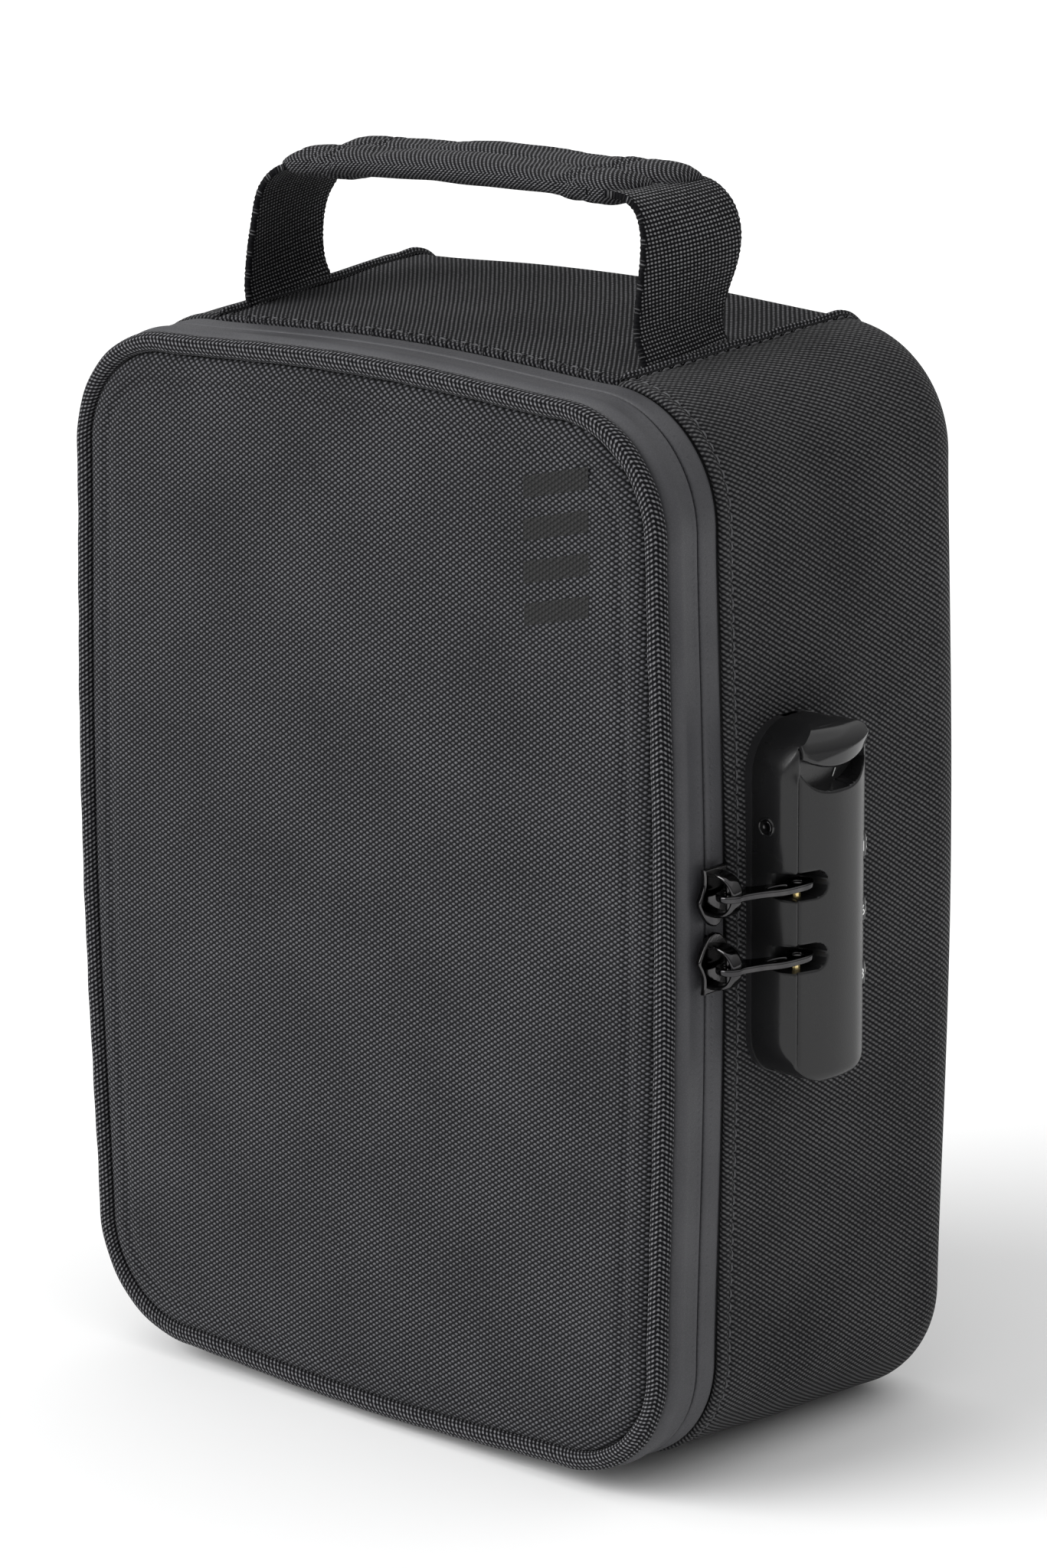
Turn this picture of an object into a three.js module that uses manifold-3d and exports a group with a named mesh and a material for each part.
// Lipo safe bag: a zipped, hard-sided fabric case with a hinged front lid, a combination lock that holds
// both zip pulls, and a webbing carrying handle. Millimetres, +Z up, front of the case towards -Y.
// The origin is on the flat of the base, at the middle of the case's width and depth.
import * as THREE from 'three';
import { mergeVertices } from 'three/addons/utils/BufferGeometryUtils.js';
import Module from 'manifold-3d';

const wasm = await Module();
wasm.setup();

// ---- Driving dimensions ----
const HALF_WIDTH = 86.3; // at the piping, where a side meets its corner
const HALF_HEIGHT = 120.5;
const CENTRE_Z = 124.5;
const CORNER_RADIUS = 28.3;
const BOW = 2.2; // how far the middle of a side stands out
const FLARE = 4.9; // how much wider each side is at the back than at the front

const FRONT_Y = -48; // middle of the piping
const ZIP_Y = -37; // where the two halves of the zip meet
const EDGE_Y = -30.4; // folded front edge of the side panels
const FLAT_Y = -5; // the base is flat from here
const BULGE_Y = 39; // the back edge's rounding starts here
const BACK_Y = 52;

const GAP = 0.3; // between neighbouring pieces
const COVER = 1.3; // woven cover
const SHELL = 4; // moulded foam shell
const TAPE = 1; // zip tape
const LINING = 1.2; // fire-resistant lining
const SHELL_INSET = COVER + GAP;
const PLATE_INSET = SHELL_INSET + SHELL + GAP;
const LINING_INSET = 9.8;
const RIM_SETBACK = 2.4; // from the zip's middle to each shell's rim
const SEAM_GAP = 0.02; // between two cover panels, in outline steps

const STEPS = 8; // outline steps along each side and round each corner
const ROUND = 8 * STEPS;
const TOP_FROM = 2 * STEPS;
const TOP_TO = 3 * STEPS;
const BASE_FROM = 6 * STEPS;
const BASE_TO = 7 * STEPS;
const HINGE_FROM = 4 * STEPS + 1;
const HINGE_TO = 5 * STEPS - 1;

// ---- Materials ----
const material = (color, roughness, metalness = 0) =>
  new THREE.MeshStandardMaterial({ color, roughness, metalness });
const fabric = material(0x2b2c30, 0.85);
const piping = material(0x232428, 0.85);
const tapeCoating = material(0x3a3b3f, 0.6);
const foam = material(0x1c1c1e, 0.95);
const lining = material(0x9a9c98, 0.7);
const webbing = material(0x1f1f22, 0.9);
const mesh = material(0x18181a, 0.9);
const housingPlastic = material(0x1a1a1c, 0.45);
const buttonPlastic = material(0x18181a, 0.3);
const dialPlastic = material(0x101012, 0.4);
const blackNickel = material(0x2a2a2c, 0.15, 1);
const coilNylon = material(0x151517, 0.5);
const zinc = material(0x9a9a98, 0.4, 1);
const brass = material(0xb59a5a, 0.3, 1);

// ---- Building blocks ----
const group = new THREE.Group();

function add(name, geometry, look) {
  const piece = new THREE.Mesh(geometry, look);
  piece.name = name;
  group.add(piece);
}

function geometryOf(positions, triangles) {
  const geometry = new THREE.BufferGeometry();
  geometry.setAttribute('position', new THREE.Float32BufferAttribute(positions.flat(), 3));
  geometry.setIndex(triangles.flat());
  return geometry;
}

// A closed three.js geometry as a solid for boolean work.
function solid(geometry) {
  const bare = geometry.clone();
  bare.deleteAttribute('normal');
  bare.deleteAttribute('uv');
  const merged = mergeVertices(bare, 1e-4);
  return new wasm.Manifold(
    new wasm.Mesh({
      numProp: 3,
      vertProperties: new Float32Array(merged.attributes.position.array),
      triVerts: new Uint32Array(merged.index.array),
    }),
  );
}

function geometryFrom(manifold) {
  const result = manifold.getMesh();
  const geometry = new THREE.BufferGeometry();
  geometry.setAttribute('position', new THREE.BufferAttribute(new Float32Array(result.vertProperties), 3));
  geometry.setIndex(new THREE.BufferAttribute(new Uint32Array(result.triVerts), 1));
  return geometry;
}

function box(low, high) {
  const size = high.map((value, k) => value - low[k]);
  return new THREE.BoxGeometry(...size).translate(...high.map((value, k) => (value + low[k]) / 2));
}

const cut = (base, ...tools) =>
  geometryFrom(tools.reduce((rest, tool) => rest.subtract(solid(tool)), solid(base)));
const join = (...pieces) =>
  geometryFrom(pieces.slice(1).reduce((whole, piece) => whole.add(solid(piece)), solid(pieces[0])));

// A flat outline in (a, b) pushed from low to high along the named axis.
function extrude(outline, axis, low, high) {
  const shape = new THREE.Shape(outline.map(([a, b]) => new THREE.Vector2(a, b)));
  const geometry = new THREE.ExtrudeGeometry(shape, { depth: high - low, bevelEnabled: false });
  if (axis === 'x') {
    geometry.applyMatrix4(new THREE.Matrix4().set(0, 0, 1, low, 1, 0, 0, 0, 0, 1, 0, 0, 0, 0, 0, 1));
  }
  if (axis === 'y') {
    geometry.applyMatrix4(new THREE.Matrix4().set(1, 0, 0, 0, 0, 0, -1, high, 0, 1, 0, 0, 0, 0, 0, 1));
  }
  if (axis === 'z') {
    geometry.translate(0, 0, low);
  }
  return geometry;
}

function cylinder(radius, low, high, axis, a, b, sides = 12) {
  const outline = Array.from({ length: sides }, (_, k) => {
    const turn = (2 * Math.PI * (k + 0.5)) / sides;
    return [a + radius * Math.cos(turn), b + radius * Math.sin(turn)];
  });
  return extrude(outline, axis, low, high);
}

function roundedRectangle(low, high, radius, steps = 4) {
  const points = [];
  const corners = [[high[0], high[1]], [low[0], high[1]], [low[0], low[1]], [high[0], low[1]]];
  corners.forEach(([a, b], corner) => {
    const centre = [a - Math.sign(a - low[0] - 1e-6) * radius, b - Math.sign(b - low[1] - 1e-6) * radius];
    for (let step = 0; step <= steps; step += 1) {
      const turn = (Math.PI / 2) * (corner + step / steps);
      points.push([centre[0] + radius * Math.cos(turn), centre[1] + radius * Math.sin(turn)]);
    }
  });
  return points;
}

// ---- The case's outer surface ----
// flare says how far the sides have spread at depth y.
const flare = (y) => (FLARE * (Math.min(y, BULGE_Y) - FRONT_Y)) / (BULGE_Y - FRONT_Y);

// The point at step t round the outline, at depth y, inset from the outer surface. Step 0 is the bottom of
// the right side; steps run up that side, over the top, down the left and back along the base.
function outlinePoint(t, y, inset) {
  const step = ((t % ROUND) + ROUND) % ROUND;
  const stretch = Math.floor(step / STEPS);
  const along = step / STEPS - stretch;
  const halfWidth = HALF_WIDTH + flare(y) - inset;
  const halfHeight = HALF_HEIGHT + flare(y) - inset;
  const radius = Math.max(CORNER_RADIUS - inset, 4);
  const quarter = Math.floor(stretch / 2);
  const sideLength = quarter % 2 === 0 ? halfHeight - radius : halfWidth - radius;
  const sideReach = quarter % 2 === 0 ? halfWidth : halfHeight;
  let across;
  let out;
  if (stretch % 2 === 0) {
    across = (2 * along - 1) * sideLength;
    out = sideReach + BOW * (1 - (2 * along - 1) ** 2);
  } else {
    const turn = (along * Math.PI) / 2;
    across = sideLength + radius * Math.sin(turn);
    out = sideReach - radius + radius * Math.cos(turn);
  }
  const [x, z] = [[out, across], [-across, out], [-out, -across], [across, -out]][quarter];
  return [x, y, Math.max(z + CENTRE_Z, inset)];
}

const stations = (from, to) => {
  const inner = [];
  for (let t = Math.floor(from) + 1; t < to; t += 1) {
    inner.push(t);
  }
  return [from, ...inner, to];
};

// Two triangles for the corners a, b, c, d. Neighbouring layers split their facets along the same diagonal.
const quad = (a, b, c, d, alongBD) => (alongBD ? [[a, b, d], [d, b, c]] : [[a, b, c], [a, c, d]]);

// A closed profile of [y, inset] points, swept round part of the outline, or all of it.
function sweep(profile, from = 0, to = ROUND) {
  const whole = to - from >= ROUND;
  const steps = whole ? Array.from({ length: ROUND }, (_, t) => t) : stations(from, to);
  const count = profile.length;
  const positions = steps.flatMap((t) => profile.map(([y, inset]) => outlinePoint(t, y, inset)));
  const triangles = [];
  const bands = whole ? steps.length : steps.length - 1;
  for (let band = 0; band < bands; band += 1) {
    const here = band * count;
    const next = ((band + 1) % steps.length) * count;
    for (let k = 0; k < count; k += 1) {
      const after = (k + 1) % count;
      const backwards = profile[after][0] > profile[k][0];
      triangles.push(...quad(here + k, here + after, next + after, next + k, backwards));
    }
  }
  if (!whole) {
    const flat = profile.map(([y, inset]) => new THREE.Vector2(y, inset));
    const last = (steps.length - 1) * count;
    THREE.ShapeUtils.triangulateShape(flat, []).forEach(([a, b, c]) => {
      triangles.push([c, b, a], [last + a, last + b, last + c]);
    });
  }
  return outward(geometryOf(positions, triangles));
}

// A tray: an open profile of [y, inset] points whose first and last points are closed across the middle.
function tray(profile) {
  const positions = profile.flatMap(([y, inset]) =>
    Array.from({ length: ROUND }, (_, t) => outlinePoint(t, y, inset)),
  );
  const triangles = [];
  for (let band = 0; band < profile.length - 1; band += 1) {
    for (let t = 0; t < ROUND; t += 1) {
      const [a, b] = [band * ROUND + t, band * ROUND + ((t + 1) % ROUND)];
      const backwards = profile[band + 1][0] > profile[band][0];
      triangles.push(...quad(a, a + ROUND, b + ROUND, b, backwards));
    }
  }
  const first = positions.length;
  const last = (profile.length - 1) * ROUND;
  positions.push([0, profile[0][0], CENTRE_Z], [0, profile.at(-1)[0], CENTRE_Z]);
  for (let t = 0; t < ROUND; t += 1) {
    const after = (t + 1) % ROUND;
    triangles.push([first, t, after], [first + 1, last + after, last + t]);
  }
  return outward(geometryOf(positions, triangles));
}

// Turns a closed geometry's faces outwards.
function outward(geometry) {
  const { array } = geometry.attributes.position;
  const index = Array.from(geometry.index.array);
  const [a, b, c] = [new THREE.Vector3(), new THREE.Vector3(), new THREE.Vector3()];
  let volume = 0;
  for (let k = 0; k < index.length; k += 3) {
    a.fromArray(array, 3 * index[k]);
    b.fromArray(array, 3 * index[k + 1]);
    c.fromArray(array, 3 * index[k + 2]);
    volume += a.dot(b.cross(c));
  }
  if (volume < 0) {
    for (let k = 0; k < index.length; k += 3) {
      [index[k], index[k + 1]] = [index[k + 1], index[k]];
    }
    geometry.setIndex(index);
  }
  return geometry;
}

// ---- Case body ----
const EDGE_ROUND = BACK_Y - BULGE_Y; // radius of the back edge
const WRAP = 14; // how far the side panels turn in over the back

// Points from the start of the back edge's rounding to its end, for a layer inset from the outer surface.
const backEdge = (inset, steps = 3) =>
  Array.from({ length: steps + 1 }, (_, k) => {
    const turn = ((Math.PI / 2) * k) / steps;
    const radius = EDGE_ROUND - inset;
    return [BULGE_Y + radius * Math.sin(turn), inset + radius * (1 - Math.cos(turn))];
  });

const coverProfile = [
  [EDGE_Y, 0],
  [FLAT_Y, 0],
  ...backEdge(0),
  [BACK_Y, WRAP],
  [BACK_Y - COVER, WRAP],
  ...backEdge(COVER).reverse(),
  [FLAT_Y, COVER],
  [EDGE_Y, COVER],
];

// The screws that hold the lock, and the clearance holes that they pass through.
const LOCK_LOW = [91.6, -24.5, 95];
const LOCK_HIGH = [105, 2.4, 174.5];
const SCREW_Y = -5;
const SCREW_Z = [104, 165];
const SCREW_CLEARANCE = 1.9; // radius of a screw's clearance hole
const screwHoles = SCREW_Z.map((z) => cylinder(SCREW_CLEARANCE, 70, 95, 'x', SCREW_Y, z, 8));

function caseBody() {
  add('rear_shell', cut(tray([
    [BACK_Y - SHELL_INSET - SHELL, EDGE_ROUND + 6],
    ...backEdge(SHELL_INSET + SHELL).reverse(),
    [FLAT_Y, SHELL_INSET + SHELL],
    [EDGE_Y, SHELL_INSET + SHELL],
    [ZIP_Y + RIM_SETBACK, SHELL_INSET + SHELL],
    [ZIP_Y + RIM_SETBACK, SHELL_INSET],
    [EDGE_Y, SHELL_INSET],
    [FLAT_Y, SHELL_INSET],
    ...backEdge(SHELL_INSET),
  ]), ...screwHoles), foam);
  add('top_panel', sweep(coverProfile, TOP_FROM + SEAM_GAP, TOP_TO - SEAM_GAP), fabric);
  add('left_panel', sweep(coverProfile, TOP_TO + SEAM_GAP, BASE_FROM - SEAM_GAP), fabric);
  add('base_panel', sweep(coverProfile, BASE_FROM + SEAM_GAP, BASE_TO - SEAM_GAP), fabric);
  const rightPanel = sweep(coverProfile, BASE_TO - ROUND + SEAM_GAP, TOP_FROM - SEAM_GAP);
  add('right_panel', cut(rightPanel, ...screwHoles), fabric);
  add('back_panel', tray([[BACK_Y - COVER, WRAP + GAP], [BACK_Y, WRAP + GAP]]), fabric);
  const liningBack = BACK_Y - PLATE_INSET;
  add('body_lining', tray([
    [liningBack - LINING, LINING_INSET + LINING + 5],
    [liningBack - LINING - 5, LINING_INSET + LINING],
    [FLAT_Y, LINING_INSET + LINING],
    [EDGE_Y, LINING_INSET + LINING],
    [ZIP_Y + RIM_SETBACK, LINING_INSET + LINING],
    [ZIP_Y + RIM_SETBACK, LINING_INSET],
    [EDGE_Y, LINING_INSET],
    [FLAT_Y, LINING_INSET],
    [liningBack - 5, LINING_INSET],
    [liningBack, LINING_INSET + 5],
  ]), lining);
}

// Two padded shelves divide the inside into three cells.
const SHELF_Z = [86, 163];
const SHELF_THICKNESS = 5;
function dividers() {
  const side = HALF_WIDTH - LINING_INSET - LINING - GAP;
  ['lower', 'upper'].forEach((place, k) => {
    const low = [-side, ZIP_Y + 6, SHELF_Z[k] - SHELF_THICKNESS / 2];
    const high = [side, BACK_Y - PLATE_INSET - LINING - GAP, SHELF_Z[k] + SHELF_THICKNESS / 2];
    add(`divider_${place}`, box(low, high), lining);
  });
}

// ---- Zip ----
// Each half is a coated tape with a coil inside its edge. The tapes stop at the fabric hinge on the left.
const TAPE_INSET = 0.3;
const tapeProfile = (from, to) => [
  [from, TAPE_INSET],
  [to, TAPE_INSET],
  [to, TAPE_INSET + TAPE],
  [from, TAPE_INSET + TAPE],
];
const coilProfile = (from, to) => [
  [from, TAPE_INSET + TAPE + GAP],
  [to, TAPE_INSET + TAPE + GAP],
  [to, TAPE_INSET + TAPE + GAP + 1.8],
  [from, TAPE_INSET + TAPE + GAP + 1.8],
];
const LID_TAPE = [FRONT_Y + 3, ZIP_Y - GAP];
const BODY_TAPE = [ZIP_Y + GAP, EDGE_Y - GAP];
const COIL_WIDTH = 1.7;
const ZIP_RUN = [HINGE_TO, HINGE_FROM + ROUND];
const HINGE_RUN = [HINGE_FROM + 0.1, HINGE_TO - 0.1];

function zip() {
  add('lid_zip_tape', sweep(tapeProfile(...LID_TAPE), ...ZIP_RUN), tapeCoating);
  add('body_zip_tape', sweep(tapeProfile(...BODY_TAPE), ...ZIP_RUN), tapeCoating);
  add('lid_zip_coil', sweep(coilProfile(ZIP_Y - GAP - COIL_WIDTH, ZIP_Y - GAP), ...ZIP_RUN), coilNylon);
  add('body_zip_coil', sweep(coilProfile(ZIP_Y + GAP, ZIP_Y + GAP + COIL_WIDTH), ...ZIP_RUN), coilNylon);
  add('hinge_strip_lid', sweep(tapeProfile(...LID_TAPE), ...HINGE_RUN), fabric);
  add('hinge_strip_body', sweep(tapeProfile(...BODY_TAPE), ...HINGE_RUN), fabric);
}

// ---- Lid ----
const PIPING_RADIUS = 2.7;
const PANEL_INSET = 2 * PIPING_RADIUS + GAP;
const PANEL_FRONT = FRONT_Y - 2.2;
const PANEL_BACK = FRONT_Y + 2.2;
const TRAY_BACK = PANEL_BACK + GAP + 2.5;
const RIM_END = ZIP_Y - RIM_SETBACK;
const POCKET_HALF_WIDTH = 62;
const POCKET_Z = [22, 150];
const BINDING_WIDTH = 10;

function lid() {
  add('lid_panel', tray([
    [PANEL_BACK, PANEL_INSET],
    [PANEL_FRONT + 1, PANEL_INSET],
    [PANEL_FRONT, PANEL_INSET + 1.2],
  ]), fabric);
  const welt = Array.from({ length: 8 }, (_, k) => {
    const turn = (2 * Math.PI * (k + 0.5)) / 8;
    return [FRONT_Y - 0.3 + PIPING_RADIUS * Math.cos(turn), PIPING_RADIUS * (1 + Math.sin(turn))];
  });
  add('lid_piping', sweep(welt), piping);
  add('lid_shell', tray([
    [TRAY_BACK, SHELL_INSET + 3],
    [RIM_END, SHELL_INSET + 3],
    [RIM_END, SHELL_INSET],
    [PANEL_BACK + GAP + 1.2, SHELL_INSET],
    [PANEL_BACK + GAP, SHELL_INSET + 1.2],
  ]), foam);
  const liningFront = TRAY_BACK + GAP;
  const liningInset = SHELL_INSET + 3 + GAP;
  add('lid_lining', tray([
    [liningFront + 1, liningInset + 1],
    [RIM_END, liningInset + 1],
    [RIM_END, liningInset],
    [liningFront, liningInset],
  ]), lining);
  const pocketFront = liningFront + 1 + GAP;
  const [pocketLow, pocketHigh] = POCKET_Z;
  add('lid_pocket', box(
    [-POCKET_HALF_WIDTH, pocketFront, pocketLow],
    [POCKET_HALF_WIDTH, pocketFront + 0.8, pocketHigh]), mesh);
  add('pocket_binding', box(
    [-POCKET_HALF_WIDTH, pocketFront, pocketHigh + GAP],
    [POCKET_HALF_WIDTH, pocketFront + 1.6, pocketHigh + BINDING_WIDTH]), webbing);
}

// ---- Combination lock on the right side ----
const SLOT_Z = [124.2, 140.4]; // middles of the two pull slots
const SLOT_HEIGHT = 5.2;
const SLOT_FLOOR_X = 96.6;
const SLOT_END_Y = -15;
const DIAL_Z = [116.3, 130.7, 145.1];
const DIAL_RADIUS = 5.2;
const DIAL_WIDTH = 5.4;
const DIAL_CENTRE = [98.3, -2.3];
const SPINDLE_RADIUS = 1.2;
const SPINDLE_Z = [DIAL_Z[0] - 6, DIAL_Z[2] + 6];
const BUTTON_TRAVEL = 4.5;
const RESET_PLACE = [95, 153];
const PIN_PLACE = [99.6, -20.1];
const PULL_THICKNESS = 1.6;
const HOUSING_WALL = 1.8;
const CAVITY_DEPTH_X = 97.5;
const DEEP_CAVITY_X = 101;
const DEEP_CAVITY_Y = [-21.6, -3];
const RECESS_LOW_Z = 160.6;
const RECESS_FLOOR_X = 99;
const RECESS_Y = [-20.8, -0.4];
const STEM_Z = [168.4, 172];
const STEM_Y = [-13, -10];
const FAR = 130; // past the outer face

// Cross-section of the housing seen along its length: flat front, narrow ridge, crowned outer face.
const housingSection = [
  [LOCK_LOW[0], LOCK_LOW[1]], [99.8, LOCK_LOW[1]], [101.6, -23], [102.6, -20.5], [104.3, -15],
  [LOCK_HIGH[0], -10.5], [104.8, -5.5], [103.8, -1.4], [101.3, 1.4],
  [97.4, LOCK_HIGH[1]], [LOCK_LOW[0], LOCK_HIGH[1]],
];

// A rounded pocket or plate, clear of the housing's outline by the given distance.
const lockOutline = (clear) => roundedRectangle(
  [LOCK_LOW[1] + clear, LOCK_LOW[2] + clear], [LOCK_HIGH[1] - clear, LOCK_HIGH[2] - clear], 11 - clear, 5);

function lockHousing() {
  const crowned = solid(extrude(housingSection, 'z', LOCK_LOW[2], LOCK_HIGH[2]));
  const face = solid(extrude(lockOutline(0), 'x', LOCK_LOW[0], LOCK_HIGH[0]));
  const outer = geometryFrom(crowned.intersect(face));
  const cavity = extrude(lockOutline(HOUSING_WALL), 'x', LOCK_LOW[0] - 2, CAVITY_DEPTH_X);
  const deepCavity = box(
    [CAVITY_DEPTH_X - 1, DEEP_CAVITY_Y[0], 107], [DEEP_CAVITY_X, DEEP_CAVITY_Y[1], RECESS_LOW_Z - 2.5]);
  const slots = SLOT_Z.map((z) =>
    box([SLOT_FLOOR_X, -30, z - SLOT_HEIGHT / 2], [FAR, SLOT_END_Y, z + SLOT_HEIGHT / 2]));
  const windowHalf = DIAL_WIDTH / 2 + 0.4;
  const windows = DIAL_Z.map((z) =>
    cylinder(DIAL_RADIUS + 0.5, z - windowHalf, z + windowHalf, 'z', ...DIAL_CENTRE, 20));
  const recess = (clear, low) => box(
    [RECESS_FLOOR_X + clear, RECESS_Y[0] + clear, low], [FAR, RECESS_Y[1] - clear, LOCK_HIGH[2] + 9]);
  const stemSlot = box([CAVITY_DEPTH_X - 1, STEM_Y[0] - 0.4, STEM_Z[0] - BUTTON_TRAVEL - 0.4],
    [RECESS_FLOOR_X + 1, STEM_Y[1] + 0.4, STEM_Z[1] + 0.4]);
  const resetHole = cylinder(1.7, -27, -20, 'y', ...RESET_PLACE, 12);
  const spindleBore = cylinder(SPINDLE_RADIUS + GAP, ...SPINDLE_Z, 'z', ...DIAL_CENTRE, 10);
  add('lock_housing', cut(outer, cavity, deepCavity, ...slots, ...windows, spindleBore,
    recess(0, RECESS_LOW_Z), stemSlot, resetHole), housingPlastic);
  const cap = geometryFrom(
    solid(outer).intersect(solid(recess(GAP, RECESS_LOW_Z + BUTTON_TRAVEL + 0.4))));
  const stem = box([96.4, STEM_Y[0], STEM_Z[0]], [RECESS_FLOOR_X + GAP + 1, STEM_Y[1], STEM_Z[1]]);
  add('release_button', join(cap, stem), buttonPlastic);
}

function latchBar() {
  // The bar carries a pin for each pull and moves with the release button.
  const bar = box([94.2, -19.6, 108.4], [96, -9.8, 158]);
  const neck = box([94.2, -14.4, 157], [96, -9.8, STEM_Z[1]]);
  const arms = SLOT_Z.flatMap((z) => {
    const pinTop = z - PULL_THICKNESS / 2 - GAP;
    return [
      box([95.5, PIN_PLACE[1] - 1.3, pinTop - 5], [PIN_PLACE[0] + 1.2, PIN_PLACE[1] + 1.3, pinTop - 3.2]),
      cylinder(1, pinTop - 3.6, pinTop, 'z', ...PIN_PLACE, 10),
    ];
  });
  add('latch_bar', join(bar, neck, ...arms), brass);
}

class Helix extends THREE.Curve {
  constructor(centre, radius, low, high, turns) {
    super();
    Object.assign(this, { centre, radius, low, high, turns });
  }

  getPoint(t, target = new THREE.Vector3()) {
    const turn = 2 * Math.PI * this.turns * t;
    return target.set(
      this.centre[0] + this.radius * Math.cos(turn),
      this.centre[1] + this.radius * Math.sin(turn),
      this.low + (this.high - this.low) * t,
    );
  }
}

function latchSpring() {
  const wireRadius = 0.35;
  const wire = new THREE.Shape(Array.from({ length: 6 }, (_, k) => {
    const turn = (Math.PI * k) / 3;
    return new THREE.Vector2(wireRadius * Math.cos(turn), wireRadius * Math.sin(turn));
  }));
  const extrudePath = new Helix([95.2, -14.5], 1.6, 97.8, 107.4, 4);
  const coil = new THREE.ExtrudeGeometry(wire, { extrudePath, steps: 40, bevelEnabled: false });
  add('latch_spring', coil, zinc);
}

function lockWorks() {
  const plateHoles = SCREW_Z.map((z) => cylinder(SCREW_CLEARANCE, 80, 100, 'x', SCREW_Y, z, 8));
  const basePlate = extrude(lockOutline(HOUSING_WALL + GAP), 'x', LOCK_LOW[0], LOCK_LOW[0] + 1.1);
  add('lock_base_plate', cut(basePlate, ...plateHoles), zinc);
  const backing = [[-16, 0], [FLAT_Y, 0], [4, 0], [4, 1], [FLAT_Y, 1], [-16, 1]]
    .map(([y, depth]) => [y, PLATE_INSET + depth]);
  add('lock_backing_plate', cut(sweep(backing, 2, 6.2), ...screwHoles), zinc);
  SCREW_Z.forEach((z, k) => {
    const shank = cylinder(1.5, 82.2, 94.2, 'x', SCREW_Y, z, 10);
    const head = cylinder(3, 81.2, 82.4, 'x', SCREW_Y, z, 12);
    add(`lock_screw_${['lower', 'upper'][k]}`, join(shank, head), zinc);
  });
  const spindleEnds = [SPINDLE_Z[0] + GAP, SPINDLE_Z[1] - GAP];
  add('dial_spindle', cylinder(SPINDLE_RADIUS, ...spindleEnds, 'z', ...DIAL_CENTRE, 10), zinc);
  DIAL_Z.forEach((z, k) => {
    const wheel = cylinder(DIAL_RADIUS, z - DIAL_WIDTH / 2, z + DIAL_WIDTH / 2, 'z', ...DIAL_CENTRE, 20);
    const bore = cylinder(1.6, z - 5, z + 5, 'z', ...DIAL_CENTRE, 10);
    add(`dial_${['lower', 'middle', 'upper'][k]}`, cut(wheel, bore), dialPlastic);
  });
  add('reset_button', join(
    cylinder(1.3, -24.1, -20.9, 'y', ...RESET_PLACE, 10),
    cylinder(2.2, -21.7, -20.9, 'y', ...RESET_PLACE, 10)), zinc);
  latchBar();
  latchSpring();
}

// ---- Sliders and pulls ----
const SLIDER_X = 89.7; // underside of a slider's plate
const SLIDER_THICKNESS = 1.8;
const SLIDER_MIDDLE_Z = 132.4;
const SLIDER_LENGTH = 12.6;
const SLIDER_HALF_GAP = 1.3;
const BRIDGE_HALF_LENGTH = 3.9;
const BRIDGE_FOOT = 1.4;
const BAR_RADIUS = 1.2;
const PULL_PIVOT = [95.2, ZIP_Y + 0.4];

// A shield-shaped plate, a bridge over it, and the bridge's bar, which the pull's eye turns on.
function slider(place, way, slot) {
  const at = (distance) => SLIDER_MIDDLE_Z + way * (SLIDER_HALF_GAP + distance);
  const rightSide = [[2.2, 0], [4.6, 3], [5.6, 8.2], [3.8, SLIDER_LENGTH]];
  const outline = [...rightSide, ...rightSide.map(([y, z]) => [-y, z]).reverse()]
    .map(([y, z]) => [ZIP_Y + y, at(z)]);
  const top = SLIDER_X + SLIDER_THICKNESS;
  const plate = extrude(outline, 'x', SLIDER_X, top);
  const foot = (low) => box([top - 0.4, PULL_PIVOT[1] - 1.6, low],
    [PULL_PIVOT[0] + BAR_RADIUS, PULL_PIVOT[1] + 1.6, low + BRIDGE_FOOT]);
  const bar = cylinder(BAR_RADIUS, slot - BRIDGE_HALF_LENGTH + 0.5, slot + BRIDGE_HALF_LENGTH - 0.5, 'z',
    ...PULL_PIVOT, 12);
  add(`slider_${place}`, join(plate, foot(slot - BRIDGE_HALF_LENGTH),
    foot(slot + BRIDGE_HALF_LENGTH - BRIDGE_FOOT), bar), blackNickel);
}

// A flat plate with an eye at one end and a hole for the latch pin near the other, measured from the eye.
function pull(place, slot) {
  const outline = [
    [3.1, 1.2], [5, 5.5], [7.4, 9.5], [8.4, 15], [8.4, 17.4], [7.6, 19.3], [5.6, 20.1], [3.2, 19.6],
    [2.1, 17.8], [1.9, 10.5], [-1.8, 5], [-3, 1.5], [-3.1, -1], [-1.9, -2.7], [0, -3.2], [1.9, -2.7], [3.1, -1],
  ].map(([x, y]) => [PULL_PIVOT[0] + x, PULL_PIVOT[1] + y]);
  const [low, high] = [slot - PULL_THICKNESS / 2, slot + PULL_THICKNESS / 2];
  add(`pull_${place}`, cut(extrude(outline, 'z', low, high),
    cylinder(BAR_RADIUS + 0.4, low - 1, high + 1, 'z', ...PULL_PIVOT, 12),
    cylinder(1.5, low - 1, high + 1, 'z', ...PIN_PLACE, 12)), blackNickel);
}

function slidersAndPulls() {
  slider('lower', -1, SLOT_Z[0]);
  slider('upper', 1, SLOT_Z[1]);
  pull('lower', SLOT_Z[0]);
  pull('upper', SLOT_Z[1]);
}

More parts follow.
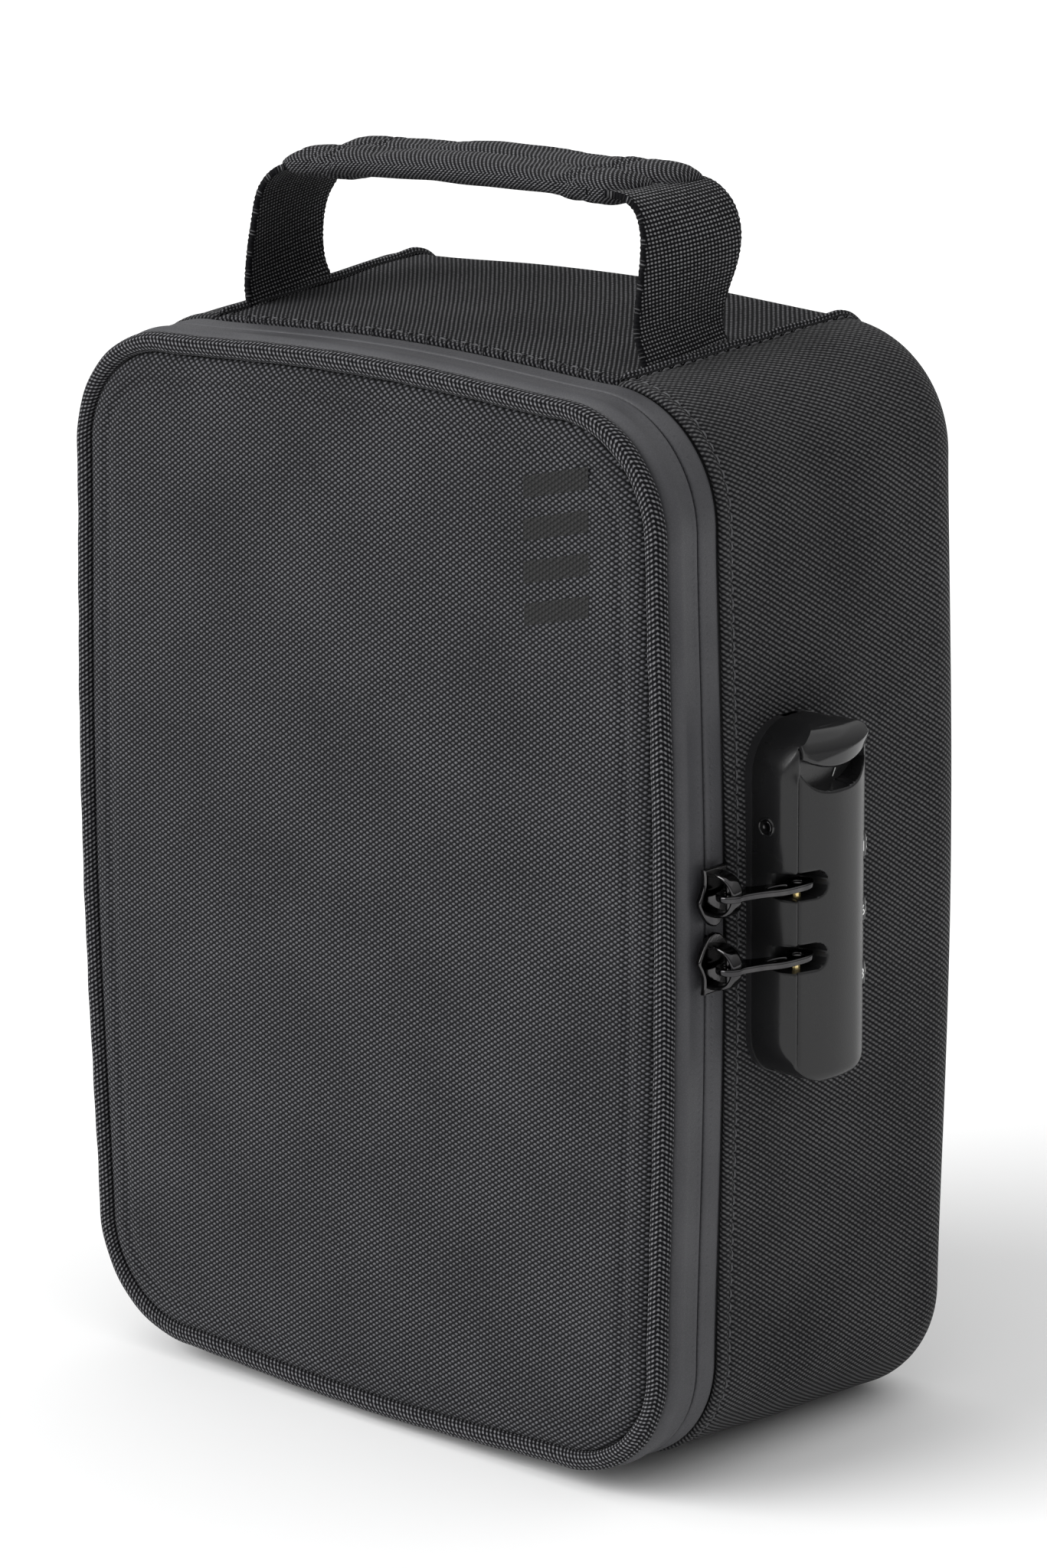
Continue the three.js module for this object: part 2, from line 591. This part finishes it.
// ---- Handle ----
const HANDLE_Y = -5;
const WEBBING_WIDTH = 30;
const WEBBING_THICKNESS = 1.6;
const LEG_X = 58.3;
const LEG_FOOT_Z = 249;
const LEG_TOP_Z = 270;
const GRIP_Z = 282.2;
const GRIP_HALF_LENGTH = 47;
const GRIP_SIZE = [31, 8.4];

// A strap seen from the front: the line of its middle, thickened.
function strap(line, thickness) {
  const side = (offset) =>
    line.map((point, k) => {
      const before = line[Math.max(k - 1, 0)];
      const after = line[Math.min(k + 1, line.length - 1)];
      const [dx, dz] = [after[0] - before[0], after[1] - before[1]];
      const length = Math.hypot(dx, dz);
      return [point[0] - (dz / length) * offset, point[1] + (dx / length) * offset];
    });
  const outline = [...side(-thickness / 2), ...side(thickness / 2).reverse()];
  return extrude(outline, 'y', HANDLE_Y - WEBBING_WIDTH / 2, HANDLE_Y + WEBBING_WIDTH / 2);
}

function handle() {
  [['left', -1], ['right', 1]].forEach(([place, side]) => {
    const line = [[side * LEG_X, LEG_FOOT_Z + 0.6], [side * LEG_X, LEG_TOP_Z - 0.8]];
    add(`handle_leg_${place}`, strap(line, WEBBING_THICKNESS), webbing);
  });
  const bend = (side) => [[LEG_X, LEG_TOP_Z + 0.8], [LEG_X - 0.6, LEG_TOP_Z + 4.4],
    [LEG_X - 3, LEG_TOP_Z + 8.4], [LEG_X - 6.6, LEG_TOP_Z + 11.2], [GRIP_HALF_LENGTH - 0.5, GRIP_Z]]
    .map(([x, z]) => [side * x, z]);
  const strapLine = [...bend(1), ...bend(-1).reverse()];
  add('handle_webbing', strap(strapLine, WEBBING_THICKNESS), webbing);
  const section = ([width, height], radius) => roundedRectangle(
    [HANDLE_Y - width / 2, GRIP_Z - height / 2],
    [HANDLE_Y + width / 2, GRIP_Z + height / 2], radius, 3);
  const sleeve = extrude(section(GRIP_SIZE, 3.4), 'x', -GRIP_HALF_LENGTH, GRIP_HALF_LENGTH);
  const channel = extrude(
    section([WEBBING_WIDTH + 2 * GAP, WEBBING_THICKNESS + 2 * GAP], 0.4), 'x', -60, 60);
  add('handle_grip', cut(sleeve, channel), fabric);
}

caseBody();
dividers();
zip();
lid();
lockHousing();
lockWorks();
slidersAndPulls();
handle();

export default group;
